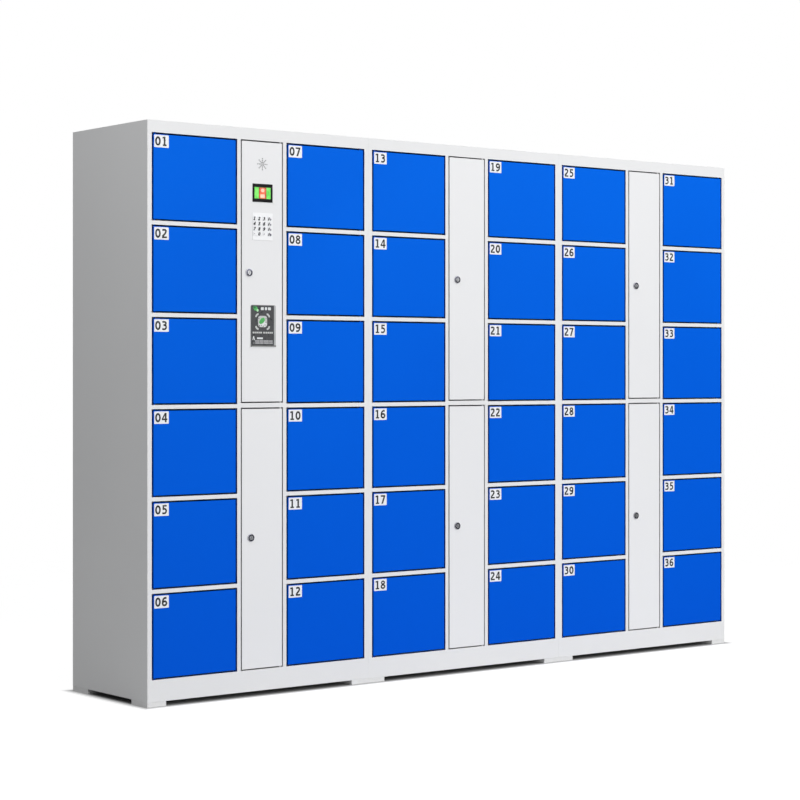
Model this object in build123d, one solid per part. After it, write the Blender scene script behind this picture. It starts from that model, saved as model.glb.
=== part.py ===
from build123d import *
import math
import os

os.makedirs("parts", exist_ok=True)

# Overall size
ROW_WIDTH = 2550.0
CABINETS = 3
CABINET_WIDTH = ROW_WIDTH / CABINETS
HEIGHT = 1800.0
DEPTH = 460.0
PROUD = 3.0  # how far lock heads and the reader stand in front of the doors
BACK = DEPTH / 2
FRONT = -DEPTH / 2 + PROUD
SHEET = 1.5
FRAME_DEPTH = 20.0
FOOT_HEIGHT = 15.0
FOOT_WIDTH = 68.0
FOOT_DEPTH = 95.0

# Front layout, measured from each cabinet's left edge
STILE_OUT = 16.0
BAY = 314.0
STILE_IN = 14.0
GAP = 6.0
GAP_Z = 5.0
SERVICE_GAP = 4.0
RAIL = 13.0
ROWS = 6
OPENING = 270.0
HEADER = 38.0
PLINTH_TOP = 83.0
MID_RAIL_TOP = 929.0
MID_RAIL_BOTTOM = 914.0
DOOR_TOP = HEIGHT - HEADER
PITCH = OPENING + RAIL

# Doors
PAN = 1.2
PAN_DEPTH = 18.0
PIVOT_IN = 7.0
SERVICE_PIVOT_IN = 4.5
PIN_R = 2.5
PIN_CLEAR = 0.05
PIN_IN = 5.0
PIN_HOLE = 5.5
STICKER = (52.0, 38.0, 0.4)
STICKER_IN = (2.5, 2.0)

# Compartment locks
LOCK_BODY = (24.0, 60.0, 70.0)
STRIKER = (3.0, 40.0, 20.0)

# Cam locks
CAM_AXIS_IN = 34.0
CONSOLE_CAM_IN = 27.0  # the console door's lock stands nearer the edge
CAM_UPPER_Z = 1342.0
CAM_LOWER_Z = 502.0
PLUG_R = 6.5
BARREL_R = 9.5
FLANGE_R = 12.5
BARREL_END = 25.0
CAM_LENGTH = 45.0
CAM_WIDTH = 16.0
CAM_SHEET = 2.5

# Panel of the first cabinet's upper service door, from the door's left edge
CONSOLE_X = 78.5
SPEAKER_Z = 1688.0
SPEAKER_RINGS = ((0, 1), (6.0, 8), (11.7, 8), (17.5, 8))
SPEAKER_HOLE = 1.9
DISPLAY = (77.0, 58.0, 1596.0)
SCREEN = (62.0, 36.0)
KEYPAD = (77.0, 86.0, 1489.0)
KEY = (14.0, 12.0)
KEY_PITCH = (18.5, 16.3)
KEY_SHIFT = (-1.5, 1.0)
READER = (90.0, 127.0, 1175.4)
READER_RIM = (98.0, 134.0, 3.0, -1.9)


def block(x0, x1, y0, y1, z0, z1):
    return Pos((x0 + x1) / 2, (y0 + y1) / 2, (z0 + z1) / 2) * Box(x1 - x0, y1 - y0, z1 - z0)


def along_y(x, z, r, y0, y1):
    return Pos(x, (y0 + y1) / 2, z) * Rot(90, 0, 0) * Cylinder(r, y1 - y0)


def along_z(x, y, r, z0, z1):
    return Pos(x, y, (z0 + z1) / 2) * Cylinder(r, z1 - z0)


def save(name, solids):
    flat = []
    for s in solids:
        flat += list(s.solids())
    if len(flat) == 1:
        export_step(flat[0], f"parts/{name}.step")
    else:
        export_step(Compound(children=flat), f"parts/{name}.step")


def row_top(row):
    return DOOR_TOP - row * PITCH


def row_bottom(row):
    return PLINTH_TOP if row == ROWS - 1 else row_top(row) - OPENING


# Door pan: face sheet with its four edges folded back, pivot pins top and bottom
def door_pan(x0, x1, z0, z1):
    pan = block(x0, x1, FRONT, FRONT + PAN_DEPTH, z0, z1)
    return pan - block(x0 + PAN, x1 - PAN, FRONT + PAN, FRONT + PAN_DEPTH + 1, z0 + PAN, z1 - PAN)


def pins(x, inset, gap, z0, z1):
    y = FRONT + inset
    return [
        along_z(x, y, PIN_R, z1, z1 + gap + PIN_IN),
        along_z(x, y, PIN_R, z0 - gap - PIN_IN, z0),
    ]


def channel(x0, x1, z0, z1, upright=True):
    outer = block(x0, x1, FRONT + PAN, FRONT + PAN + 12, z0, z1)
    if upright:
        inner = block(x0 + PAN, x1 - PAN, FRONT + PAN - 1, FRONT + PAN + 12 - PAN, z0 - 1, z1 + 1)
    else:
        inner = block(x0 - 1, x1 + 1, FRONT + PAN - 1, FRONT + PAN + 12 - PAN, z0 + PAN, z1 - PAN)
    return outer - inner


def cam_housing(x, z):
    body = along_y(x, z, BARREL_R, FRONT, FRONT + BARREL_END)
    body += along_y(x, z, FLANGE_R, FRONT - PROUD + 0.2, FRONT)
    body -= along_y(x, z, PLUG_R + PIN_CLEAR, FRONT - PROUD - 1, FRONT + BARREL_END + 1)
    return body


def cam_plug(x, z, reach):
    end = FRONT + BARREL_END + 0.5
    plug = along_y(x, z, PLUG_R, FRONT - PROUD + 0.5, end)
    plug -= block(x - 0.9, x + 0.9, FRONT - PROUD, FRONT + 8, z - 4.5, z + 4.5)
    lever = block(
        x - CAM_WIDTH / 2, x + CAM_WIDTH / 2, end, end + CAM_SHEET, z - reach, z + CAM_WIDTH / 2
    )
    nut = block(x - 5, x + 5, end + CAM_SHEET, end + CAM_SHEET + 5, z - 5, z + 5)
    return [plug, lever, nut]


shells, frames, dividers, feet, locks = [], [], [], [], []

for c in range(CABINETS):
    left = -ROW_WIDTH / 2 + c * CABINET_WIDTH
    right = left + CABINET_WIDTH
    l_in, r_in = left + SHEET, right - SHEET
    bay_l = (left + STILE_OUT, left + STILE_OUT + BAY)
    bay_r = (right - STILE_OUT - BAY, right - STILE_OUT)
    duct = (bay_l[1] + STILE_IN, bay_r[0] - STILE_IN)
    behind = FRONT + FRAME_DEPTH

    shells += [
        block(left, l_in, FRONT, BACK, FOOT_HEIGHT, HEIGHT),
        block(r_in, right, FRONT, BACK, FOOT_HEIGHT, HEIGHT),
        block(l_in, r_in, FRONT, BACK, HEIGHT - SHEET, HEIGHT),
        block(l_in, r_in, BACK - SHEET, BACK, FOOT_HEIGHT, HEIGHT - SHEET),
        block(l_in, r_in, behind, BACK - SHEET, PLINTH_TOP - SHEET, PLINTH_TOP),
        block(l_in, r_in, BACK - SHEET - FRAME_DEPTH, BACK - SHEET, FOOT_HEIGHT, PLINTH_TOP - SHEET),
    ]

    # Compartment doors: column 0 pivots on its outer left edge, column 1 on its outer right edge
    spots = []
    for col, (b0, b1) in enumerate((bay_l, bay_r)):
        for row in range(ROWS):
            z0, z1 = row_bottom(row) + GAP_Z, row_top(row) - GAP_Z
            x0, x1 = b0 + GAP, b1 - GAP
            pivot = x0 + PIVOT_IN if col == 0 else x1 - PIVOT_IN
            spots.append((pivot, PIVOT_IN, z0 - GAP_Z, z1 + GAP_Z))
            mid_x, mid_z = (x0 + x1) / 2, (z0 + z1) / 2
            if col == 0:
                sx = x1 - 12.0
                lock_x = (bay_l[1] - LOCK_BODY[0], bay_l[1])
                slot = (sx - 3.5, sx + 7.5)
            else:
                sx = x0 + 12.0
                lock_x = (bay_r[0], bay_r[0] + LOCK_BODY[0])
                slot = (sx - 7.5, sx + 3.5)
            striker = block(
                sx - STRIKER[0] / 2, sx + STRIKER[0] / 2,
                FRONT + PAN, FRONT + PAN + STRIKER[1],
                mid_z - STRIKER[2] / 2, mid_z + STRIKER[2] / 2,
            )
            striker -= block(
                sx - 3, sx + 3, FRONT + 27, FRONT + 36, mid_z - 5, mid_z + 5
            )
            number = 12 * c + 6 * col + row + 1
            save(f"door_{number:02d}", [
                door_pan(x0, x1, z0, z1),
                channel(mid_x - 20, mid_x + 20, z0 + 6, z1 - 6),
                *pins(pivot, PIVOT_IN, GAP_Z, z0, z1),
                striker,
                block(x0 + STICKER_IN[0], x0 + STICKER_IN[0] + STICKER[0], FRONT - STICKER[2], FRONT,
                      z1 - STICKER_IN[1] - STICKER[1], z1 - STICKER_IN[1]),
            ])
            locks.append(
                block(lock_x[0], lock_x[1], behind, behind + LOCK_BODY[1],
                      mid_z - LOCK_BODY[2] / 2, mid_z + LOCK_BODY[2] / 2)
                - block(slot[0], slot[1], behind - 1, behind + 28, mid_z - 14, mid_z + 14)
            )

    # Service doors pivot on their right edge
    for part, (z_low, z_high) in (("upper", (MID_RAIL_TOP, DOOR_TOP)), ("lower", (PLINTH_TOP, MID_RAIL_BOTTOM))):
        x0, x1 = duct[0] + SERVICE_GAP, duct[1] - SERVICE_GAP
        z0, z1 = z_low + SERVICE_GAP, z_high - SERVICE_GAP
        pivot = x1 - SERVICE_PIVOT_IN
        spots.append((pivot, SERVICE_PIVOT_IN, z_low, z_high))
        pan = door_pan(x0, x1, z0, z1)
        console = c == 0 and part == "upper"
        axis_in = CONSOLE_CAM_IN if console else CAM_AXIS_IN
        cam = (x0 + axis_in, CAM_UPPER_Z if part == "upper" else CAM_LOWER_Z)
        pan -= along_y(cam[0], cam[1], BARREL_R + 0.1, FRONT - 1, FRONT + PAN + 1)
        bars = [z0 + 60, (z0 + z1) / 2 + 50, z1 - 100]
        if console:
            bars = [z0 + 60, z0 + 345]
            cx = x0 + CONSOLE_X
            for w, h, z in (
                (DISPLAY[0] - 6, DISPLAY[1] - 6, DISPLAY[2]),
                (KEYPAD[0] - 3, KEYPAD[1] - 3, KEYPAD[2]),
                (READER[0] - 20, READER[1] - 20, READER[2]),
            ):
                pan -= block(cx - w / 2, cx + w / 2, FRONT - 1, FRONT + PAN + 1, z - h / 2, z + h / 2)
            for ring, count in SPEAKER_RINGS:
                for k in range(count):
                    a = 2 * math.pi * k / count
                    pan -= along_y(cx + ring * math.cos(a), SPEAKER_Z + ring * math.sin(a), SPEAKER_HOLE,
                                   FRONT - 1, FRONT + PAN + 1)
        save(f"service_door_{c + 1}_{part}", [
            pan,
            *pins(pivot, SERVICE_PIVOT_IN, SERVICE_GAP, z0, z1),
            *[channel(x0 + 8, x1 - 16, z, z + 30, upright=False) for z in bars],
            cam_housing(*cam),
        ])
        save(f"cam_lock_{c + 1}_{part}", cam_plug(*cam, CAM_LENGTH - CAM_AXIS_IN + axis_in))

    # Front frame: header, plinth, stiles and rails, with blind holes for the pivot pins
    bars = [
        block(l_in, r_in, FRONT, behind, DOOR_TOP, HEIGHT - SHEET),
        block(l_in, r_in, FRONT, behind, FOOT_HEIGHT, PLINTH_TOP),
        block(l_in, bay_l[0], FRONT, behind, PLINTH_TOP, DOOR_TOP),
        block(bay_l[1], duct[0], FRONT, behind, PLINTH_TOP, DOOR_TOP),
        block(duct[1], bay_r[0], FRONT, behind, PLINTH_TOP, DOOR_TOP),
        block(bay_r[1], r_in, FRONT, behind, PLINTH_TOP, DOOR_TOP),
        block(duct[0], duct[1], FRONT, behind, MID_RAIL_BOTTOM, MID_RAIL_TOP),
    ]
    for b0, b1 in (bay_l, bay_r):
        for row in range(ROWS - 1):
            bars.append(block(b0, b1, FRONT, behind, row_top(row + 1), row_bottom(row)))
    for bar in bars:
        box = bar.bounding_box()
        bar -= block(box.min.X + SHEET, box.max.X - SHEET, FRONT + SHEET, behind + 1,
                     box.min.Z + SHEET, box.max.Z - SHEET)
        for x, inset, z_low, z_high in spots:
            if not box.min.X < x < box.max.X:
                continue
            if abs(box.min.Z - z_high) < 0.01:
                bar -= along_z(x, FRONT + inset, PIN_R + PIN_CLEAR, z_high, z_high + PIN_HOLE)
            if abs(box.max.Z - z_low) < 0.01:
                bar -= along_z(x, FRONT + inset, PIN_R + PIN_CLEAR, z_low - PIN_HOLE, z_low)
        frames.append(bar)

    # Duct walls and compartment shelves
    dividers += [
        block(bay_l[1], bay_l[1] + SHEET, behind, BACK - SHEET, PLINTH_TOP, HEIGHT - SHEET),
        block(bay_r[0] - SHEET, bay_r[0], behind, BACK - SHEET, PLINTH_TOP, HEIGHT - SHEET),
    ]
    for a, b in ((l_in, bay_l[1]), (bay_r[0], r_in)):
        for row in range(ROWS - 1):
            z = row_bottom(row)
            dividers.append(block(a, b, behind, BACK - SHEET, z - SHEET, z))

    for fx in (left, right - FOOT_WIDTH):
        for fy in (FRONT, BACK - FOOT_DEPTH):
            feet.append(block(fx, fx + FOOT_WIDTH, fy, fy + FOOT_DEPTH, 0, FOOT_HEIGHT))

save("cabinet_shells", shells)
save("face_frames", frames)
save("compartment_dividers", dividers)
save("feet", feet)
save("electronic_locks", locks)

# Console on the first cabinet's upper service door
x0 = -ROW_WIDTH / 2 + STILE_OUT + BAY + STILE_IN + SERVICE_GAP
cx = x0 + CONSOLE_X

w, h, z = DISPLAY
sw, sh = SCREEN
bezel = block(cx - w / 2, cx + w / 2, FRONT - 1.5, FRONT, z - h / 2, z + h / 2)
bezel += block(cx - w / 2 + 4, cx + w / 2 - 4, FRONT, FRONT + 15, z - h / 2 + 4, z + h / 2 - 4)
bezel -= block(cx - sw / 2, cx + sw / 2, FRONT - 2, FRONT + 1, z - sh / 2, z + sh / 2)
save("display_bezel", [bezel])
save("display_screen", [block(cx - sw / 2, cx + sw / 2, FRONT - 1.0, FRONT + 1, z - sh / 2, z + sh / 2)])

w, h, z = KEYPAD
kx = [cx + KEY_SHIFT[0] + (i - 1.5) * KEY_PITCH[0] for i in range(4)]
kz = [z + KEY_SHIFT[1] + (1.5 - i) * KEY_PITCH[1] for i in range(4)]
plate = block(cx - w / 2, cx + w / 2, FRONT - 1.2, FRONT, z - h / 2, z + h / 2)
for x in kx:
    for q in kz:
        plate -= block(x - KEY[0] / 2 - 0.3, x + KEY[0] / 2 + 0.3, FRONT - 2, FRONT + 1,
                       q - KEY[1] / 2 - 0.3, q + KEY[1] / 2 + 0.3)
base = block(cx - w / 2 + 4, cx + w / 2 - 4, FRONT + 3.0, FRONT + 6.0, z - h / 2 + 4, z + h / 2 - 4)
posts = [
    block(cx + sx * 33 - 1.5, cx + sx * 33 + 1.5, FRONT, FRONT + 3.0, z + sz * 37.5 - 1.5, z + sz * 37.5 + 1.5)
    for sx in (-1, 1) for sz in (-1, 1)
]
save("keypad_plate", [plate, base, *posts])
save("keypad_keys", [
    block(x - KEY[0] / 2, x + KEY[0] / 2, FRONT - 2.2, FRONT + 1.5, q - KEY[1] / 2, q + KEY[1] / 2)
    for x in kx for q in kz
])

w, h, z = READER
face = block(cx - w / 2, cx + w / 2, FRONT - PROUD, FRONT - PROUD + 1, z - h / 2, z + h / 2)
rw, rh, rx, rz = READER_RIM
rim = block(cx + rx - rw / 2, cx + rx + rw / 2, FRONT - PROUD + 1, FRONT, z + rz - rh / 2, z + rz + rh / 2)
rim = fillet(rim.edges().filter_by(Axis.Y), 6)
core = block(cx - 34, cx + 34, FRONT, FRONT + 28, z - 52, z + 52)
save("reader", [face, rim, core])

save("speaker", [along_y(cx, SPEAKER_Z, 26, FRONT + PAN, FRONT + 12)])

# Control board box and power supply in the first cabinet's duct, on the back panel
d0 = -ROW_WIDTH / 2 + STILE_OUT + BAY + STILE_IN
save("control_unit", [
    block(d0 + 22, d0 + 142, BACK - SHEET - 45, BACK - SHEET, 1380, 1580),
    block(d0 + 32, d0 + 132, BACK - SHEET - 50, BACK - SHEET, 1180, 1340),
])
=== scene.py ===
import math

import bmesh
import bpy
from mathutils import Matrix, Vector
from mathutils.geometry import delaunay_2d_cdt


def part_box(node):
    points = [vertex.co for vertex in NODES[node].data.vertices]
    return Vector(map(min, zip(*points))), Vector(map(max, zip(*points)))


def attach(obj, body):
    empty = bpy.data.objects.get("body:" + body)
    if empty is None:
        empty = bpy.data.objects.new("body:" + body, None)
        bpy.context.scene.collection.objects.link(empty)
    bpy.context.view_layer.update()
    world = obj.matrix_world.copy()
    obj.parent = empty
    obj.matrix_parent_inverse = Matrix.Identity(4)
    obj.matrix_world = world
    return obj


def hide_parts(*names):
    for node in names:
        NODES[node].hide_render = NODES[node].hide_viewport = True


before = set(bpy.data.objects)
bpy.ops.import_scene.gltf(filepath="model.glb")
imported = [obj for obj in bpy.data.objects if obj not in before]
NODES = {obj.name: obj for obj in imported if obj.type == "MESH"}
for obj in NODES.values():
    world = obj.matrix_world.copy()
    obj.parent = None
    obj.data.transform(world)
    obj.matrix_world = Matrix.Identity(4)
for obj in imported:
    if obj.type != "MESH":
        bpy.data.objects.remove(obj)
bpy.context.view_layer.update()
SCENE = bpy.context.scene

# Row layout in metres, as in the CAD
W = 0.850
FRONT = -0.227
BACK = 0.230
H = 1.800
FRAME = 0.020
SHEET = 0.0015
FOOT = 0.015
PLINTH = 0.083
HEAD = 1.762
PITCH = 0.283
OPEN = 0.270


def mm(*v):
    return tuple(x / 1000.0 for x in v)


# ---------------------------------------------------------------- materials
def new_material(name):
    m = bpy.data.materials.new(name)
    m.use_nodes = True
    nt = m.node_tree
    nt.nodes.clear()
    out = nt.nodes.new("ShaderNodeOutputMaterial")
    bsdf = nt.nodes.new("ShaderNodeBsdfPrincipled")
    nt.links.new(bsdf.outputs["BSDF"], out.inputs["Surface"])
    return m, nt, bsdf


def object_coords(nt, scale=(1, 1, 1)):
    tc = nt.nodes.new("ShaderNodeTexCoord")
    mp = nt.nodes.new("ShaderNodeMapping")
    mp.inputs["Scale"].default_value = scale
    nt.links.new(tc.outputs["Object"], mp.inputs["Vector"])
    return mp.outputs["Vector"]


def noise(nt, vec, scale, detail=2.0, rough=0.5):
    n = nt.nodes.new("ShaderNodeTexNoise")
    n.inputs["Scale"].default_value = scale
    n.inputs["Detail"].default_value = detail
    n.inputs["Roughness"].default_value = rough
    nt.links.new(vec, n.inputs["Vector"])
    return n.outputs["Fac"]


def remap(nt, val, a, b, c, d):
    r = nt.nodes.new("ShaderNodeMapRange")
    r.inputs["From Min"].default_value = a
    r.inputs["From Max"].default_value = b
    r.inputs["To Min"].default_value = c
    r.inputs["To Max"].default_value = d
    nt.links.new(val, r.inputs["Value"])
    return r.outputs["Result"]


def mix(nt, fac, c1, c2):
    x = nt.nodes.new("ShaderNodeMix")
    x.data_type = "RGBA"
    if isinstance(fac, (int, float)):
        x.inputs[0].default_value = fac
    else:
        nt.links.new(fac, x.inputs[0])
    for sock, c in ((x.inputs[6], c1), (x.inputs[7], c2)):
        if isinstance(c, tuple):
            sock.default_value = (*c[:3], 1)
        else:
            nt.links.new(c, sock)
    return x.outputs[2]


def bump(nt, bsdf, height, strength, distance):
    b = nt.nodes.new("ShaderNodeBump")
    b.inputs["Strength"].default_value = strength
    b.inputs["Distance"].default_value = distance
    nt.links.new(height, b.inputs["Height"])
    nt.links.new(b.outputs["Normal"], bsdf.inputs["Normal"])


def powder(name, c1, c2, rough=(0.42, 0.5), grain=900.0, strength=0.06, specular=0.35, rise=0.0, low_shade=None):
    """Powder-coated sheet: fine orange peel, slow drift of colour, a little wear in the roughness. Given a darker
    colour, it is darkened towards the bottom as painted shade.
    """
    m, nt, bsdf = new_material(name)
    vec = object_coords(nt)
    slow = remap(nt, noise(nt, vec, 1.4, 2.0), 0.3, 0.7, 0.0, 1.0)
    col = mix(nt, slow, c1, c2)
    # painted shade: the colour is darkened towards the bottom of the row, by height
    if low_shade:
        sep = nt.nodes.new("ShaderNodeSeparateXYZ")
        nt.links.new(vec, sep.inputs[0])
        shade_by_height = remap(nt, sep.outputs["Z"], 0.1, 1.75, 0.0, 1.0)
        col = mix(nt, shade_by_height, low_shade, col)
    nt.links.new(col, bsdf.inputs["Base Color"])
    fine = noise(nt, vec, 60.0, 4.0)
    nt.links.new(remap(nt, fine, 0.3, 0.7, rough[0], rough[1]), bsdf.inputs["Roughness"])
    bsdf.inputs["Specular IOR Level"].default_value = specular
    bump(nt, bsdf, noise(nt, vec, grain, 2.0), strength, 0.0002)
    return m


def plastic(name, c1, c2, rough=(0.35, 0.45), grain=1500.0, strength=0.04, specular=0.4, coat=0.0):
    m, nt, bsdf = new_material(name)
    vec = object_coords(nt)
    nt.links.new(mix(nt, remap(nt, noise(nt, vec, 40.0, 2.0), 0.3, 0.7, 0.0, 1.0), c1, c2), bsdf.inputs["Base Color"])
    nt.links.new(remap(nt, noise(nt, vec, 120.0, 3.0), 0.3, 0.7, rough[0], rough[1]), bsdf.inputs["Roughness"])
    bsdf.inputs["Specular IOR Level"].default_value = specular
    bsdf.inputs["Coat Weight"].default_value = coat
    bump(nt, bsdf, noise(nt, vec, grain, 2.0), strength, 0.0001)
    return m


def metal(name, c1, c2, rough=(0.12, 0.25), stretch=(1, 1, 1)):
    m, nt, bsdf = new_material(name)
    vec = object_coords(nt, stretch)
    nt.links.new(mix(nt, noise(nt, vec, 90.0, 3.0), c1, c2), bsdf.inputs["Base Color"])
    nt.links.new(remap(nt, noise(nt, vec, 400.0, 3.0), 0.3, 0.7, rough[0], rough[1]), bsdf.inputs["Roughness"])
    bsdf.inputs["Metallic"].default_value = 1.0
    bump(nt, bsdf, noise(nt, vec, 1200.0, 2.0), 0.03, 0.0001)
    return m


def glow(name, c1, c2, strength=0.9, scale=60.0):
    """Backlit print on a display: slightly uneven light."""
    m, nt, bsdf = new_material(name)
    vec = object_coords(nt)
    col = mix(nt, remap(nt, noise(nt, vec, scale, 2.0), 0.3, 0.7, 0.0, 1.0), c1, c2)
    nt.links.new(col, bsdf.inputs["Base Color"])
    nt.links.new(col, bsdf.inputs["Emission Color"])
    bsdf.inputs["Emission Strength"].default_value = strength
    bsdf.inputs["Roughness"].default_value = 0.25
    return m


# the door blue is painted darker towards the bottom as painted shade
BLUE = powder("blue_coat", (0.0003, 0.128, 0.78), (0.0005, 0.142, 0.83), rough=(0.50, 0.58), specular=0.02,
              low_shade=(0.0003, 0.098, 0.69))
# painted shade: a darker copy of the door blue for the door flanges seen in the gaps
FLANGE_SHADE = powder("blue_flange_painted_shade", (0.001, 0.105, 0.56), (0.002, 0.120, 0.62), rough=(0.50, 0.58), specular=0.02)
WHITE = powder("white_coat", (0.82, 0.82, 0.82), (0.85, 0.85, 0.85), rough=(0.45, 0.55), specular=0.3)
DOOR_WHITE = powder("service_coat", (0.845, 0.848, 0.858), (0.87, 0.872, 0.88), rough=(0.45, 0.55), specular=0.3)
SHELL = powder("shell_coat", (0.825, 0.827, 0.83), (0.85, 0.852, 0.855), rough=(0.45, 0.55), specular=0.3)
INNER = powder("inner_coat", (0.62, 0.63, 0.64), (0.68, 0.69, 0.70), rough=(0.5, 0.6), specular=0.3)
FOOT_M = plastic("foot_paint", (0.78, 0.78, 0.78), (0.82, 0.82, 0.82), rough=(0.5, 0.6))
LOCK_BLACK = plastic("lock_body", (0.020, 0.020, 0.022), (0.035, 0.035, 0.038), rough=(0.45, 0.6))
STEEL = metal("bright_steel", (0.62, 0.63, 0.65), (0.75, 0.76, 0.78), rough=(0.22, 0.34))
CHROME = metal("lock_chrome", (0.48, 0.49, 0.53), (0.66, 0.67, 0.72), rough=(0.14, 0.24))
DARK = plastic("dark_slot", (0.006, 0.006, 0.007), (0.010, 0.010, 0.011), rough=(0.6, 0.7))
BOX_GREY = powder("box_grey", (0.36, 0.37, 0.38), (0.42, 0.43, 0.44), rough=(0.5, 0.6))
BEZEL = plastic("bezel_black", (0.0015, 0.0015, 0.0015), (0.003, 0.003, 0.003), rough=(0.30, 0.40), specular=0.10)
PAD_WHITE = plastic("pad_white", (0.93, 0.935, 0.95), (0.96, 0.965, 0.975), rough=(0.35, 0.45))
KEY_WHITE = plastic("key_white", (0.90, 0.905, 0.92), (0.93, 0.935, 0.95), rough=(0.4, 0.5))
INK = plastic("ink_black", (0.008, 0.008, 0.009), (0.014, 0.014, 0.015), rough=(0.5, 0.6))
KEY_INK = plastic("key_ink", (0.010, 0.010, 0.014), (0.020, 0.020, 0.026), rough=(0.5, 0.6), specular=0.2)
KEY_GREY = plastic("key_grey", (0.26, 0.25, 0.29), (0.32, 0.31, 0.35), rough=(0.5, 0.6))
KEY_DARK = plastic("key_dark", (0.10, 0.10, 0.13), (0.15, 0.15, 0.18), rough=(0.5, 0.6))
LOCK_RING = metal("lock_ring", (0.075, 0.075, 0.10), (0.12, 0.12, 0.155), rough=(0.22, 0.32))
LOCK_EDGE = metal("lock_edge", (0.20, 0.20, 0.25), (0.30, 0.30, 0.36), rough=(0.20, 0.30))
LABEL = plastic("sticker_white", (0.86, 0.87, 0.90), (0.92, 0.93, 0.95), rough=(0.35, 0.45))
READER_GREY = plastic("reader_rim", (0.44, 0.45, 0.45), (0.50, 0.51, 0.51), rough=(0.35, 0.45))
READER_DARK = plastic("reader_face", (0.052, 0.054, 0.058), (0.066, 0.068, 0.072), rough=(0.25, 0.35))
# painted shadow: dark grey for a strip under the reader face
READER_SHADOW = plastic("reader_painted_shadow", (0.13, 0.13, 0.125), (0.17, 0.17, 0.16), rough=(0.4, 0.5))
PRINT_WHITE = plastic("print_white", (0.72, 0.74, 0.74), (0.80, 0.82, 0.82), rough=(0.4, 0.5))
PRINT_GREY = plastic("print_grey", (0.33, 0.33, 0.34), (0.42, 0.42, 0.43), rough=(0.4, 0.5))
PRINT_GREY_LIGHT = plastic("print_pale", (0.52, 0.53, 0.52), (0.60, 0.61, 0.60), rough=(0.4, 0.5))
PRINT_MINT = plastic("print_mint", (0.42, 0.74, 0.42), (0.52, 0.84, 0.52), rough=(0.4, 0.5))
PRINT_DEEP = plastic("print_deep", (0.015, 0.17, 0.045), (0.025, 0.22, 0.06), rough=(0.4, 0.5))
PRINT_GREEN = plastic("print_green", (0.06, 0.42, 0.09), (0.10, 0.52, 0.13), rough=(0.4, 0.5))
# painted shade: dark navy for the reveals of the compartment openings
GAP_SHADE = plastic("gap_painted_shade", (0.028, 0.080, 0.29), (0.034, 0.095, 0.34), rough=(0.6, 0.75), specular=0.1)
# painted shade: grey for the reveals of the middle column and the service door flanges
PALE_GAP_SHADE = plastic("pale_gap_painted_shade", (0.42, 0.42, 0.42), (0.48, 0.48, 0.48), rough=(0.55, 0.7), specular=0.2)
SPEAKER = plastic("speaker_black", (0.012, 0.012, 0.013), (0.02, 0.02, 0.021), rough=(0.6, 0.7))
SCREEN_GREEN = glow("screen_green", (0.08, 0.55, 0.05), (0.22, 0.78, 0.12), 0.35)
SCREEN_RED = glow("screen_red", (0.62, 0.07, 0.02), (0.85, 0.16, 0.06), 0.3)
SCREEN_PALE = glow("screen_pale", (0.85, 0.40, 0.28), (0.95, 0.62, 0.45), 0.3)
SCREEN_DEEP = glow("screen_deep", (0.25, 0.01, 0.004), (0.40, 0.03, 0.01), 0.2)


def paint(obj, mat):
    obj.data.materials.clear()
    obj.data.materials.append(mat)


def soften(obj, width, segments=2, weld=True):
    """Rounds folded edges. The imported faces are split at their edges, so they are welded first."""
    if weld:
        w = obj.modifiers.new("weld", "WELD")
        w.merge_threshold = 1e-5
    b = obj.modifiers.new("bevel", "BEVEL")
    b.width = width
    b.segments = segments
    b.limit_method = "ANGLE"
    b.angle_limit = math.radians(35)
    b.harden_normals = True
    return obj


def link(obj):
    SCENE.collection.objects.link(obj)
    return obj


def smooth_by_angle(mesh, angle=35):
    for p in mesh.polygons:
        p.use_smooth = True
    bm = bmesh.new()
    bm.from_mesh(mesh)
    for e in bm.edges:
        e.smooth = not (len(e.link_faces) == 2 and e.calc_face_angle(0) > math.radians(angle))
    bm.to_mesh(mesh)
    bm.free()


def union_boxes(name, boxes, mat):
    """One closed skin round a set of axis-aligned boxes."""
    axes = []
    for a in range(3):
        vals = sorted({round(b[a][k], 6) for b in boxes for k in (0, 1)})
        axes.append(vals)
    index = [{v: i for i, v in enumerate(vals)} for vals in axes]
    filled = set()
    for b in boxes:
        r = [range(index[a][round(b[a][0], 6)], index[a][round(b[a][1], 6)]) for a in range(3)]
        for i in r[0]:
            for j in r[1]:
                for k in r[2]:
                    filled.add((i, j, k))
    verts, faces, seen = [], [], {}

    def vert(i, j, k):
        if (i, j, k) not in seen:
            seen[(i, j, k)] = len(verts)
            verts.append((axes[0][i], axes[1][j], axes[2][k]))
        return seen[(i, j, k)]

    for i, j, k in sorted(filled):
        if (i - 1, j, k) not in filled:
            faces.append([vert(i, j, k), vert(i, j, k + 1), vert(i, j + 1, k + 1), vert(i, j + 1, k)])
        if (i + 1, j, k) not in filled:
            faces.append([vert(i + 1, j, k), vert(i + 1, j + 1, k), vert(i + 1, j + 1, k + 1), vert(i + 1, j, k + 1)])
        if (i, j - 1, k) not in filled:
            faces.append([vert(i, j, k), vert(i + 1, j, k), vert(i + 1, j, k + 1), vert(i, j, k + 1)])
        if (i, j + 1, k) not in filled:
            faces.append([vert(i, j + 1, k), vert(i, j + 1, k + 1), vert(i + 1, j + 1, k + 1), vert(i + 1, j + 1, k)])
        if (i, j, k - 1) not in filled:
            faces.append([vert(i, j, k), vert(i, j + 1, k), vert(i + 1, j + 1, k), vert(i + 1, j, k)])
        if (i, j, k + 1) not in filled:
            faces.append([vert(i, j, k + 1), vert(i + 1, j, k + 1), vert(i + 1, j + 1, k + 1), vert(i, j + 1, k + 1)])
    me = bpy.data.meshes.new(name)
    me.from_pydata(verts, [], faces)
    me.validate()
    me.update()
    obj = link(bpy.data.objects.new(name, me))
    obj.data.materials.append(mat)
    return obj


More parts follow.
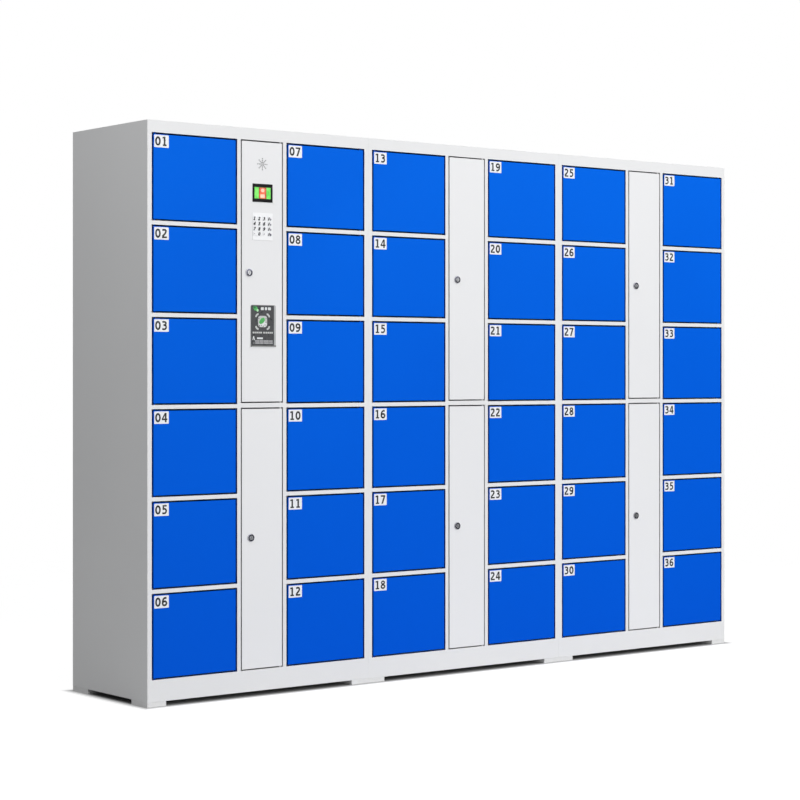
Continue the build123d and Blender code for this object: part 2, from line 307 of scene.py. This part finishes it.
def rounded(name, cx, cz, w, h, r, y0, y1, mat, steps=5):
    """A plate facing -Y with rounded corners, front at y0, back at y1."""
    pts = []
    for sx, sz, a0 in ((1, 1, 0), (-1, 1, 90), (-1, -1, 180), (1, -1, 270)):
        for s in range(steps + 1):
            a = math.radians(a0 + 90 * s / steps)
            pts.append((cx + sx * (w / 2 - r) + r * math.cos(a), cz + sz * (h / 2 - r) + r * math.sin(a)))
    n = len(pts)
    verts = [(x, y0, z) for x, z in pts] + [(x, y1, z) for x, z in pts]
    faces = [list(range(n)), list(range(2 * n - 1, n - 1, -1))]
    for i in range(n):
        j = (i + 1) % n
        faces.append([i, n + i, n + j, j])
    me = bpy.data.meshes.new(name)
    me.from_pydata(verts, [], faces)
    bm = bmesh.new()
    bm.from_mesh(me)
    bmesh.ops.recalc_face_normals(bm, faces=bm.faces)
    bm.to_mesh(me)
    bm.free()
    me.materials.append(mat)
    return link(bpy.data.objects.new(name, me))


def polygon(name, pts, y0, y1, mat):
    """A flat shape facing -Y from (x, z) points."""
    n = len(pts)
    verts = [(x, y0, z) for x, z in pts] + [(x, y1, z) for x, z in pts]
    faces = [list(range(n)), list(range(2 * n - 1, n - 1, -1))]
    for i in range(n):
        j = (i + 1) % n
        faces.append([i, n + i, n + j, j])
    me = bpy.data.meshes.new(name)
    me.from_pydata(verts, [], faces)
    bm = bmesh.new()
    bm.from_mesh(me)
    bmesh.ops.recalc_face_normals(bm, faces=bm.faces)
    bm.to_mesh(me)
    bm.free()
    me.materials.append(mat)
    return link(bpy.data.objects.new(name, me))


def ring(name, x, z, r_out, r_in, y0, y1, mat, seg=48, bead=0.0006):
    """A flat ring facing -Y with a rounded outer edge, or a disc when r_in is 0."""
    prof = [(r_in, y1), (r_in, y0)] if r_in > 0 else [(0.0, y0)]
    for s in range(5):
        a = math.radians(90 * s / 4)
        prof.append((r_out - bead + bead * math.sin(a), y0 + bead - bead * math.cos(a)))
    prof.append((r_out, y1))
    verts, faces = [], []
    for k in range(seg):
        a = 2 * math.pi * k / seg
        for r, y in prof:
            verts.append((x + r * math.cos(a), y, z + r * math.sin(a)))
    m = len(prof)
    for k in range(seg):
        k2 = (k + 1) % seg
        for i in range(m - 1):
            faces.append([k * m + i, k2 * m + i, k2 * m + i + 1, k * m + i + 1])
        if r_in > 0:
            faces.append([k * m + m - 1, k2 * m + m - 1, k2 * m, k * m])
    me = bpy.data.meshes.new(name)
    me.from_pydata(verts, [], faces)
    bm = bmesh.new()
    bm.from_mesh(me)
    bmesh.ops.remove_doubles(bm, verts=bm.verts, dist=1e-7)
    bmesh.ops.recalc_face_normals(bm, faces=bm.faces)
    bm.to_mesh(me)
    bm.free()
    me.materials.append(mat)
    obj = link(bpy.data.objects.new(name, me))
    smooth_by_angle(me, 50)
    return obj


def arc_points(cx, cz, rx, rz, a0, a1, n=14):
    return [(cx + rx * math.cos(math.radians(a0 + (a1 - a0) * k / n)),
             cz + rz * math.sin(math.radians(a0 + (a1 - a0) * k / n))) for k in range(n + 1)]


def strip(line, wide):
    """A polyline drawn with a thick pen, as quads with mitred joints."""
    closed = math.dist(line[0], line[-1]) < 1e-9
    pts = line[:-1] if closed else line
    n = len(pts)
    sides = []
    for i, (x, z) in enumerate(pts):
        normals = []
        for a, b in ((i - 1, i), (i, i + 1)):
            if not closed and (a < 0 or b >= n):
                continue
            (ax, az), (bx, bz) = pts[a % n], pts[b % n]
            length = math.hypot(bx - ax, bz - az)
            normals.append((-(bz - az) / length, (bx - ax) / length))
        mx = sum(v[0] for v in normals) / len(normals)
        mz = sum(v[1] for v in normals) / len(normals)
        k = wide / 2 / max(mx * mx + mz * mz, 0.3)
        sides.append(((x + mx * k, z + mz * k), (x - mx * k, z - mz * k)))
    last = n if closed else n - 1
    return [[sides[i][0], sides[i][1], sides[(i + 1) % n][1], sides[(i + 1) % n][0]] for i in range(last)]


def rect(x0, x1, z0, z1):
    return [[(x0, z0), (x1, z0), (x1, z1), (x0, z1)]]


# Plain bold figures, 28 high, centred on the origin
SIX = strip(arc_points(0.2, -5.1, 6.9, 6.1, 0, 360, 22), 5.6) + strip(
    [(7.2, 10.4), (3.6, 11.3), (0.4, 10.9), (-2.8, 9.0), (-5.2, 5.6), (-6.6, 0.6), (-6.7, -5.1)], 5.6)
GLYPHS = {
    "0": strip(arc_points(0, 0, 7.0, 11.15, 0, 360, 28), 5.8),
    "1": [[(-6.4, -14), (7.4, -14), (7.4, -9.4), (3.6, -9.4), (3.6, 14), (-1.6, 14), (-7.0, 12.8), (-7.0, 8.2),
           (-2.4, 9.2), (-2.4, -9.4), (-6.4, -9.4)]],
    "2": strip([(-7.6, 9.6), (-4.4, 11.0), (-0.8, 11.4), (2.6, 10.7), (4.8, 8.6), (5.2, 5.8), (4.0, 2.8), (0.8, -1.2),
                (-7.2, -9.4)], 5.6) + rect(-8.8, 8.8, -14, -9.0),
    "3": strip([(-7.4, 10.4), (-3.4, 11.3), (0.8, 11.2), (4.0, 9.8), (5.2, 7.2), (4.4, 4.2), (1.4, 2.2), (-3.4, 1.4)],
               5.2) + strip([(-3.4, 1.4), (1.8, 0.9), (5.0, -1.0), (6.2, -4.6), (5.2, -8.2), (2.0, -10.8), (-2.6, -11.5),
                             (-8.0, -10.4)], 5.2),
    "4": rect(1.4, 7.2, -14, 14) + rect(-9.8, 10.2, -7.8, -3.0) + [[(1.4, 14), (1.4, 7.0), (-4.4, -3.0), (-9.8, -3.0),
                                                                    (-9.8, -4.4), (0.8, 14)]],
    "5": rect(-6.6, 7.4, 9.2, 14) + rect(-6.6, -1.4, -0.6, 12) + strip(
        [(-6.4, 1.4), (-2.4, 2.5), (1.4, 2.2), (4.6, 0.4), (6.2, -3.4), (5.2, -7.6), (2.2, -10.6), (-2.4, -11.5),
         (-7.8, -10.6)], 5.2),
    "6": SIX,
    "7": [[(-9.0, 14), (9.2, 14), (9.2, 10.4), (0.2, -14), (-6.4, -14), (2.4, 9.0), (-9.0, 9.0)]],
    "8": strip(arc_points(0, 6.8, 5.8, 4.7, 0, 360, 20), 5.0) + strip(arc_points(0, -5.9, 6.9, 5.6, 0, 360, 22), 5.2),
    "9": [[(-x, -z) for x, z in q] for q in SIX],
    "*": strip([(0, -5), (0, 5)], 2.4) + strip([(-4.4, -2.6), (4.4, 2.6)], 2.4) + strip([(-4.4, 2.6), (4.4, -2.6)], 2.4),
    "#": strip([(-2.4, -7), (-2.4, 7)], 2.2) + strip([(3.0, -7), (3.0, 7)], 2.2) + strip([(-6.4, 2.8), (6.6, 2.8)], 2.2)
    + strip([(-6.4, -2.8), (6.6, -2.8)], 2.2),
}


def flat(name, shapes, y0, y1, mat):
    """One closed plate facing -Y with the outline of several overlapping (x, z) shapes, in metres."""
    coords, faces = [], []
    for q in shapes:
        area2 = sum(a[0] * b[1] - b[0] * a[1] for a, b in zip(q, q[1:] + q[:1]))
        q = q if area2 > 0 else q[::-1]
        faces.append(list(range(len(coords), len(coords) + len(q))))
        coords += [Vector((x * 1000, z * 1000)) for x, z in q]
    v, _, tris, _, _, source = delaunay_2d_cdt(coords, [], faces, 1, 1e-3, True)
    kept = [list(t) for t, who in zip(tris, source) if len(who)]
    used = sorted({i for t in kept for i in t})
    place = {i: k for k, i in enumerate(used)}
    n = len(used)
    verts = [(v[i][0] / 1000, y0, v[i][1] / 1000) for i in used] + [(v[i][0] / 1000, y1, v[i][1] / 1000) for i in used]
    out, count = [], {}
    for t in kept:
        t = [place[i] for i in t]
        out.append(t)
        out.append([i + n for i in t[::-1]])
        for a, b in zip(t, t[1:] + t[:1]):
            count[(a, b)] = True
    for a, b in count:
        if (b, a) not in count:
            out.append([a, a + n, b + n, b])
    me = bpy.data.meshes.new(name)
    me.from_pydata(verts, [], out)
    bm = bmesh.new()
    bm.from_mesh(me)
    bmesh.ops.recalc_face_normals(bm, faces=bm.faces)
    bmesh.ops.dissolve_limit(bm, angle_limit=0.01, verts=bm.verts, edges=bm.edges)
    bm.to_mesh(me)
    bm.free()
    me.materials.append(mat)
    return link(bpy.data.objects.new(name, me))


def digits(name, text, cx, cz, height, y, mat, step=23.4, lean=0.0, depth=0.00008, bold=0.0):
    """Bold plain figures centred on (cx, cz), on a face at y, standing towards -Y."""
    grow = ((-bold, 0), (bold, 0), (0, -bold), (0, bold)) if bold else ((0, 0),)
    k = height / 28.0
    shapes = []
    for i, ch in enumerate(text):
        ox = (i - (len(text) - 1) / 2) * step
        shapes += [[(cx + (x + gx + ox + z * lean) * k, cz + (z + gz) * k) for x, z in q]
                   for gx, gz in grow for q in GLYPHS[ch]]
    return flat(name, shapes, y - depth, y, mat)


def join(name, objs):
    """Several small pieces as one object with its own slots."""
    bm = bmesh.new()
    mats = []
    for o in objs:
        start = len(bm.faces)
        bm.from_mesh(o.data)
        bm.faces.ensure_lookup_table()
        mat = o.data.materials[0]
        if mat not in mats:
            mats.append(mat)
        k = mats.index(mat)
        for f in bm.faces[start:]:
            f.material_index = k
    me = bpy.data.meshes.new(name)
    bm.to_mesh(me)
    bm.free()
    for m in mats:
        me.materials.append(m)
    for o in objs:
        old = o.data
        bpy.data.objects.remove(o)
        bpy.data.meshes.remove(old)
    return link(bpy.data.objects.new(name, me))


# ---------------------------------------------------------------- cabinets
for c in range(3):
    left = -1.275 + W * c
    right = left + W
    bay_l = (left + 0.016, left + 0.330)
    bay_r = (left + 0.520, left + 0.834)
    duct = (left + 0.344, left + 0.506)
    behind = FRONT + FRAME
    y = (FRONT, behind)
    boxes = [
        ((left, left + SHEET), (FRONT, BACK), (FOOT, H)),
        ((right - SHEET, right), (FRONT, BACK), (FOOT, H)),
        ((left, right), (FRONT, BACK), (H - SHEET, H)),
        ((left, right), (BACK - SHEET, BACK), (FOOT, H)),
        ((left, right), (FRONT, BACK), (PLINTH - SHEET, PLINTH)),
        ((left, right), y, (HEAD, H)),
        ((left, right), y, (FOOT, PLINTH)),
        ((left, bay_l[0]), y, (FOOT, H)),
        ((bay_l[1], duct[0]), y, (FOOT, H)),
        ((duct[1], bay_r[0]), y, (FOOT, H)),
        ((bay_r[1], right), y, (FOOT, H)),
        ((duct[0], duct[1]), y, (0.914, 0.929)),
        ((left, right), (BACK - SHEET - FRAME, BACK), (FOOT, PLINTH)),
    ]
    for a, b in (bay_l, bay_r):
        for row in range(5):
            top = HEAD - PITCH * row - OPEN
            boxes.append(((a, b), y, (HEAD - PITCH * (row + 1), top)))
    body = union_boxes(f"cabinet_{c + 1}_body", boxes, SHELL)
    body.data.materials.append(GAP_SHADE)
    body.data.materials.append(PALE_GAP_SHADE)
    # painted shade in the gaps: the reveals of the openings get dark navy, in the middle column grey
    for p in body.data.polygons:
        mid = p.center
        if abs(p.normal.y) < 0.5 and FRONT < mid.y < behind and PLINTH - 0.001 < mid.z < HEAD + 0.001 \
                and left + 0.005 < mid.x < right - 0.005:
            p.material_index = 2 if duct[0] - 0.001 < mid.x < duct[1] + 0.001 else 1
    soften(body, 0.00072, 2, weld=False)
    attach(body, "cabinets")
    if c == 0:
        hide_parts("cabinet_shells", "face_frames")

# ---------------------------------------------------------------- CAD nodes
FINISH = {
    "compartment_dividers": (INNER, 0.0003),
    "feet": (FOOT_M, 0.0015),
    "electronic_locks": (LOCK_BLACK, 0.0012),
    "control_unit": (BOX_GREY, 0.0015),
    "display_bezel": (BEZEL, 0.0005),
    "display_screen": (SCREEN_GREEN, 0),
    "keypad_plate": (PAD_WHITE, 0.0004),
    "keypad_keys": (KEY_WHITE, 0.0007),
    "reader": (READER_DARK, 0.0005),
    "speaker": (SPEAKER, 0),
    "cabinet_shells": (SHELL, 0),
    "face_frames": (WHITE, 0),
}
for name, obj in NODES.items():
    if name.startswith("door_"):
        mat, width = BLUE, 0.00055
    elif name.startswith("service_"):
        mat, width = DOOR_WHITE, 0.00055
    elif name.startswith("cam_lock"):
        mat, width = STEEL, 0.0003
    else:
        mat, width = FINISH[name]
    paint(obj, mat)
    # painted shade in the gaps: the door flanges get a darker blue, or grey on the service doors
    if "door_" in name:
        obj.data.materials.append(PALE_GAP_SHADE if name.startswith("service_") else FLANGE_SHADE)
        lo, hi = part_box(name)
        top = max(v.co.z for v in obj.data.vertices if abs(v.co.y - FRONT) < 2e-5)
        low = min(v.co.z for v in obj.data.vertices if abs(v.co.y - FRONT) < 2e-5)
        for p in obj.data.polygons:
            mid = p.center
            if abs(p.normal.y) < 0.5 and mid.y < FRONT + 0.0185 and (
                    min(abs(mid.x - lo.x), abs(mid.x - hi.x)) < 5e-5 or min(abs(mid.z - top), abs(mid.z - low)) < 5e-5):
                p.material_index = 1
    if width:
        soften(obj, width, 2)

# ---------------------------------------------------------------- compartment doors
for c in range(3):
    left = -1.275 + W * c
    for col in (0, 1):
        for row in range(6):
            n = 12 * c + 6 * col + row + 1
            body = f"door_{n:02d}"
            x0 = left + (0.022 if col == 0 else 0.526)
            z1 = HEAD - PITCH * row - 0.005
            sx, sz = x0 + 0.0025 + 0.026, z1 - 0.002 - 0.019
            plate = rounded(f"sticker_{n:02d}", sx, sz, 0.0522, 0.0382, 0.0016, FRONT - 0.00055, FRONT - 0.00005, LABEL)
            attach(plate, body)
            figures = digits(f"number_{n:02d}", f"{n:02d}", sx - 0.0012, sz, 0.0282, FRONT - 0.00055, INK)
            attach(figures, body)

# ---------------------------------------------------------------- cam locks
for c in range(3):
    for part, z in (("upper", 1.342), ("lower", 0.502)):
        x = -1.275 + W * c + (0.375 if c == 0 and part == "upper" else 0.382)
        door = f"service_door_{c + 1}_{part}"
        collar = ring(f"lock_collar_{c + 1}_{part}", x, z, 0.01265, 0.0110, FRONT - 0.0029, FRONT, LOCK_EDGE, bead=0.0012)
        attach(collar, door)
        face = ring(f"lock_ring_{c + 1}_{part}", x, z, 0.0110, 0.00658, FRONT - 0.00296, FRONT - 0.0020, LOCK_RING, bead=0.0003)
        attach(face, door)
        barrel = ring(f"lock_barrel_{c + 1}_{part}", x, z, 0.0096, 0.00656, FRONT + 0.0013, FRONT + 0.0252, STEEL)
        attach(barrel, door)
        slot = rounded(f"keyway_{c + 1}_{part}", x, z - 0.0012, 0.0024, 0.0084, 0.0010, FRONT - 0.0005, FRONT + 0.0005, DARK)
        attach(slot, f"cam_lock_{c + 1}_{part}")

# ---------------------------------------------------------------- console
DOOR = "service_door_1_upper"
cx = -1.275 + 0.348 + 0.0785

# display: green field, a plain panel of reds in the middle
z = 1.596
y = FRONT - 0.00102
parts = [
    polygon("g0", [(cx - 0.0305, z - 0.0177), (cx + 0.0305, z - 0.0177), (cx + 0.0305, z + 0.0177), (cx - 0.0305, z + 0.0177)],
            y - 0.00002, y, SCREEN_GREEN),
    rounded("g1", cx, z, 0.029, 0.0354, 0.0005, y - 0.00006, y - 0.00003, SCREEN_DEEP),
    rounded("g2", cx, z - 0.001, 0.0235, 0.033, 0.004, y - 0.0001, y - 0.00007, SCREEN_RED),
    rounded("g3", cx, z + 0.0085, 0.013, 0.011, 0.0054, y - 0.00014, y - 0.00011, SCREEN_PALE),
    rounded("g4", cx, z - 0.0095, 0.017, 0.011, 0.003, y - 0.00014, y - 0.00011, SCREEN_PALE),
]
picture = join("display_picture", parts)
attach(picture, DOOR)
# keypad: digits on three columns, a bar and a mark on the fourth
z = 1.489
front = FRONT - 0.0022
labels = ["1", "2", "3", None, "4", "5", "6", None, "7", "8", "9", None, "*", "0", "#", None]
marks = []
for i, text in enumerate(labels):
    kx = cx - 0.0015 + (i % 4 - 1.5) * 0.0185
    kz = z + 0.001 + (1.5 - i // 4) * 0.0163
    last = i == 15
    if text:
        faint = text in "*#"
        marks.append(digits(f"k{i}", text, kx - 0.0024, kz, 0.0104 if faint else 0.0100, front,
                            KEY_GREY if faint else KEY_INK, lean=0.28, bold=0.0 if faint else 1.5))
    else:
        marks.append(flat(f"k{i}", [[(kx + px, kz + pz) for px, pz in (
            (-0.0068, -0.0044), (-0.0022, -0.0048), (0.0008, 0.0048), (-0.0032, 0.0048))]], front - 0.00008, front, KEY_INK))
        marks.append(rounded(f"k{i}b", kx + 0.0036, kz - 0.0014, 0.0064, 0.0084 if last else 0.0066, 0.0030,
                             front - 0.00008, front, KEY_DARK if last else KEY_GREY))
legend = join("keypad_marks", marks)
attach(legend, "keypad_keys")

# code reader: pale rim, dark face, a dark strip of painted shadow below, generic marks
z = 1.1754
# the grey rim is the real housing; it is set off to the right and down so its wider band there is a painted drop shadow
rim = rounded("reader_body", cx + 0.0024, z - 0.0019, 0.0968, 0.134, 0.006, FRONT - 0.002, FRONT, READER_GREY)
soften(rim, 0.0009, 3, weld=False)
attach(rim, DOOR)
face = rounded("reader_face", cx - 0.001, z, 0.088, 0.127, 0.003, FRONT - 0.0028, FRONT - 0.0018, READER_DARK)
soften(face, 0.0003, 2, weld=False)
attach(face, DOOR)
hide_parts("reader")
# painted shadow: a dark strip with short ends along the bottom of the reader face
shadow_strip = flat("reader_painted_shadow", rect(cx - 0.0462, cx + 0.0508, z - 0.0668, z - 0.0636)
            + rect(cx - 0.0462, cx - 0.0425, z - 0.0686, z - 0.0640) + rect(cx + 0.0475, cx + 0.0508, z - 0.0686, z - 0.0640),
            FRONT - 0.0024, FRONT - 0.0018, READER_SHADOW)
soften(shadow_strip, 0.0003, 2, weld=False)
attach(shadow_strip, DOOR)
core = union_boxes("reader_core", [((cx - 0.034, cx + 0.034), (FRONT, FRONT + 0.028), (z - 0.052, z + 0.052))], LOCK_BLACK)
soften(core, 0.001, 2, weld=False)
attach(core, DOOR)

yf, yb = FRONT - 0.00295, FRONT - 0.0028
cx -= 0.0012
art = []


def dot(k, x, zz, r, mat):
    art.append(rounded(f"a{k}", cx + x, z + zz, 2 * r, 2 * r, r * 0.999, yf, yb, mat))


def bar(k, x, zz, w, h, mat, r=0.0004):
    art.append(rounded(f"a{k}", cx + x, z + zz, w, h, min(r, w / 2.01, h / 2.01), yf, yb, mat, steps=3))


def arc(k, x, zz, r, a0, a1, wide, mat, tail=0.0):
    pts = []
    steps = 8
    for s in range(steps + 1):
        a = math.radians(a0 + (a1 - a0) * s / steps)
        pts.append((cx + x + r * math.cos(a), z + zz + r * math.sin(a)))
    for s in range(steps, -1, -1):
        a = math.radians(a0 + (a1 - a0) * s / steps)
        pts.append((cx + x + (r - wide) * math.cos(a), z + zz + (r - wide) * math.sin(a)))
    art.append(polygon(f"a{k}", pts, yf, yb, mat))


# top line: a green leaf-like mark and three pale blocks
art.append(flat("a0", [[(cx - 0.0272 + 0.0100 * math.cos(t) * 0.82 + 0.0066 * math.sin(t) * 0.57,
                         z + 0.0535 - 0.0100 * math.cos(t) * 0.57 + 0.0066 * math.sin(t) * 0.82)
                        for t in [2 * math.pi * k / 20 for k in range(20)]]], yf, yb, PRINT_GREEN))
art.append(rounded("a1", cx - 0.0195, z + 0.0475, 0.0080, 0.0085, 0.0036, yf - 0.00003, yf, PRINT_MINT))
art.append(rounded("a5", cx - 0.0312, z + 0.0568, 0.0090, 0.0080, 0.0036, yf - 0.00003, yf, PRINT_DEEP))
bar(2, -0.0013, 0.0530, 0.0112, 0.0092, PRINT_WHITE, 0.0018)
bar(3, 0.0128, 0.0530, 0.0082, 0.0092, PRINT_WHITE, 0.0018)
bar(4, 0.0262, 0.0530, 0.0112, 0.0092, PRINT_WHITE, 0.0018)
# scan window: four rounded corner brackets round a pale code patch with a green centre
for k, (ax, az, a0) in enumerate(((-1, 1, 90), (1, 1, 0), (-1, -1, 180), (1, -1, 270))):
    arc(10 + k, ax * 0.0155, 0.0118 + az * 0.0138, 0.0130, a0 + 2, a0 + 88, 0.0058, PRINT_GREY_LIGHT)
bar(20, -0.0002, 0.0122, 0.0350, 0.0360, PRINT_GREY_LIGHT, 0.009)
art.append(rounded("a19", cx + 0.0008, z + 0.0048, 0.0290, 0.0170, 0.0070, yf - 0.00002, yf, PRINT_WHITE))
art.append(flat("a21", [[(cx + px, z + pz) for px, pz in (
    (-0.0140, 0.0080), (-0.0115, 0.0150), (-0.0050, 0.0225), (0.0040, 0.0250), (0.0085, 0.0215), (0.0080, 0.0150),
    (0.0030, 0.0085), (-0.0030, 0.0050), (-0.0100, 0.0040))]], yf - 0.00005, yf, PRINT_GREEN))
for k, (bx, bz, bw, bh) in enumerate(((-0.0120, -0.0015, 0.0036, 0.0034), (-0.0055, -0.0005, 0.0026, 0.0044),
                                      (0.0020, -0.0025, 0.0030, 0.0034), (0.0090, 0.0010, 0.0036, 0.0030),
                                      (0.0125, 0.0100, 0.0030, 0.0034), (-0.0145, 0.0215, 0.0026, 0.0030),
                                      (0.0130, 0.0215, 0.0028, 0.0028))):
    art.append(rounded(f"a{22 + k}", cx + bx, z + bz, bw, bh, 0.0007, yf - 0.00005, yf, READER_DARK))
# lines of small marks in place of the text
x = -0.0385
for k, w in enumerate((0.0080, 0.0068, 0.0060, 0.0056, 0.0072, 0.0090, 0.0074, 0.0066, 0.0062, 0.0066)):
    bar(30 + k, x + w / 2, -0.0232, w - 0.0009, 0.0054, PRINT_GREY_LIGHT)
    x += w + (0.004 if k == 4 else 0.0006)
art.append(flat("a50", [[(cx + px, z + pz) for px, pz in (
    (-0.0392, -0.0470), (-0.0362, -0.0345), (-0.0330, -0.0345), (-0.0298, -0.0470), (-0.0326, -0.0470),
    (-0.0346, -0.0400), (-0.0364, -0.0470))]], yf, yb, PRINT_WHITE))
bar(51, -0.0105, -0.0412, 0.0222, 0.0056, PRINT_WHITE)
x = -0.0300
for k, w in enumerate((0.0185, 0.0150, 0.0205, 0.0150)):
    bar(60 + k, x + w / 2, -0.0498, w - 0.0012, 0.0050, PRINT_GREY)
    bar(70 + k, x + 0.0008 + w / 2, -0.0562, w - 0.0016, 0.0050, PRINT_GREY)
    x += w
for k in range(3):
    bar(80 + k, -0.0362 + 0.0024 * k, -0.0565, 0.0010, 0.0046, PRINT_GREY)
prints = join("reader_print", art)
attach(prints, DOOR)

# ---------------------------------------------------------------- stage
floor_m, nt, bsdf = new_material("floor_pale")
out = [n for n in nt.nodes if n.type == "OUTPUT_MATERIAL"][0]
vec = object_coords(nt)
pale = mix(nt, noise(nt, vec, 0.6, 2.0), (0.50, 0.50, 0.50), (0.54, 0.54, 0.54))
ray = nt.nodes.new("ShaderNodeLightPath")
nt.links.new(mix(nt, ray.outputs["Is Camera Ray"], pale, (0.32, 0.32, 0.32)), bsdf.inputs["Base Color"])
bsdf.inputs["Emission Color"].default_value = (1, 1, 1, 1)


def maths(op, a, b):
    m = nt.nodes.new("ShaderNodeMath")
    m.operation = op
    for sock, value in zip(m.inputs, (a, b)):
        if isinstance(value, float):
            sock.default_value = value
        else:
            nt.links.new(value, sock)
    return m.outputs[0]


# painted shadow: the floor under the row gets no glow and stays dark, the rest is lifted towards white
split = nt.nodes.new("ShaderNodeSeparateXYZ")
nt.links.new(vec, split.inputs[0])
dx = maths("SUBTRACT", maths("ABSOLUTE", split.outputs["X"], 0.0), 1.275)
dy = maths("SUBTRACT", maths("ABSOLUTE", split.outputs["Y"], 0.0), 0.228)
lift_outside_shadow = remap(nt, maths("MAXIMUM", dx, dy), -0.004, 0.035, 0.0, 0.86)
nt.links.new(maths("MULTIPLY", ray.outputs["Is Camera Ray"], lift_outside_shadow), bsdf.inputs["Emission Strength"])
bsdf.inputs["Roughness"].default_value = 0.75
bsdf.inputs["Specular IOR Level"].default_value = 0.15
grad = nt.nodes.new("ShaderNodeVectorMath")
grad.operation = "LENGTH"
nt.links.new(vec, grad.inputs[0])
clear = nt.nodes.new("ShaderNodeBsdfTransparent")
blendn = nt.nodes.new("ShaderNodeMixShader")
nt.links.new(remap(nt, grad.outputs["Value"], 2.2, 4.6, 0.0, 1.0), blendn.inputs["Fac"])
nt.links.new(bsdf.outputs["BSDF"], blendn.inputs[1])
nt.links.new(clear.outputs["BSDF"], blendn.inputs[2])
nt.links.new(blendn.outputs["Shader"], out.inputs["Surface"])
me = bpy.data.meshes.new("floor")
me.from_pydata([(-6, -6, 0), (6, -6, 0), (6, 6, 0), (-6, 6, 0)], [], [(0, 1, 2, 3)])
me.materials.append(floor_m)
floor = link(bpy.data.objects.new("floor", me))

# ---------------------------------------------------------------- light
world = bpy.data.worlds.new("studio")
SCENE.world = world
world.use_nodes = True
nt = world.node_tree
nt.nodes.clear()
out = nt.nodes.new("ShaderNodeOutputWorld")
lp = nt.nodes.new("ShaderNodeLightPath")
seen = nt.nodes.new("ShaderNodeBackground")
seen.inputs["Color"].default_value = (1, 1, 1, 1)
seen.inputs["Strength"].default_value = 1.0
lit = nt.nodes.new("ShaderNodeBackground")
lit.inputs["Color"].default_value = (0.97, 0.985, 1.0, 1)
tc = nt.nodes.new("ShaderNodeTexCoord")
sep = nt.nodes.new("ShaderNodeSeparateXYZ")
nt.links.new(tc.outputs["Generated"], sep.inputs[0])
nt.links.new(remap(nt, sep.outputs["Z"], -0.15, 0.6, 0.10, 0.30), lit.inputs["Strength"])
pick = nt.nodes.new("ShaderNodeMixShader")
nt.links.new(lp.outputs["Is Camera Ray"], pick.inputs["Fac"])
nt.links.new(lit.outputs["Background"], pick.inputs[1])
nt.links.new(seen.outputs["Background"], pick.inputs[2])
nt.links.new(pick.outputs["Shader"], out.inputs["Surface"])


def area(name, loc, target, size, power, color=(1, 1, 1)):
    d = bpy.data.lights.new(name, "AREA")
    d.shape = "RECTANGLE"
    d.size, d.size_y = size
    d.energy = power
    d.color = color
    o = link(bpy.data.objects.new(name, d))
    o.location = loc
    o.rotation_euler = (Vector(target) - Vector(loc)).to_track_quat("-Z", "Y").to_euler()
    return o


area("key", (3.4, -6.3, 4.2), (0.2, 0, 0.9), (5.0, 3.5), 292)
area("front", (-0.2, -7.5, 1.8), (0.0, 0, 0.8), (5.0, 2.6), 138)
area("top", (0.0, -0.8, 5.5), (0.0, 0, 0), (5.0, 4.0), 50)
area("side", (-3.4, -1.2, 3.3), (-1.275, -0.1, 1.6), (1.4, 1.0), 30)

# ---------------------------------------------------------------- camera
cam = bpy.data.cameras.new("camera")
cam_o = link(bpy.data.objects.new("camera", cam))
cam_o.location = (-4.733, -5.635 - 0.227, 1.028)
cam_o.rotation_mode = "XYZ"
cam_o.rotation_euler = (math.radians(90), 0, -0.667)
cam.sensor_width = 36.0
cam.lens = 36.0 * 2147.8 / 800.0
cam.shift_x = (400.0 - 398.92) / 800.0
cam.shift_y = (371.72 - 400.0) / 800.0
cam.clip_start = 0.05
cam.clip_end = 200.0
SCENE.camera = cam_o

SCENE.view_settings.view_transform = "Standard"
SCENE.view_settings.look = "None"
SCENE.view_settings.exposure = 0.0
SCENE.view_settings.gamma = 1.0
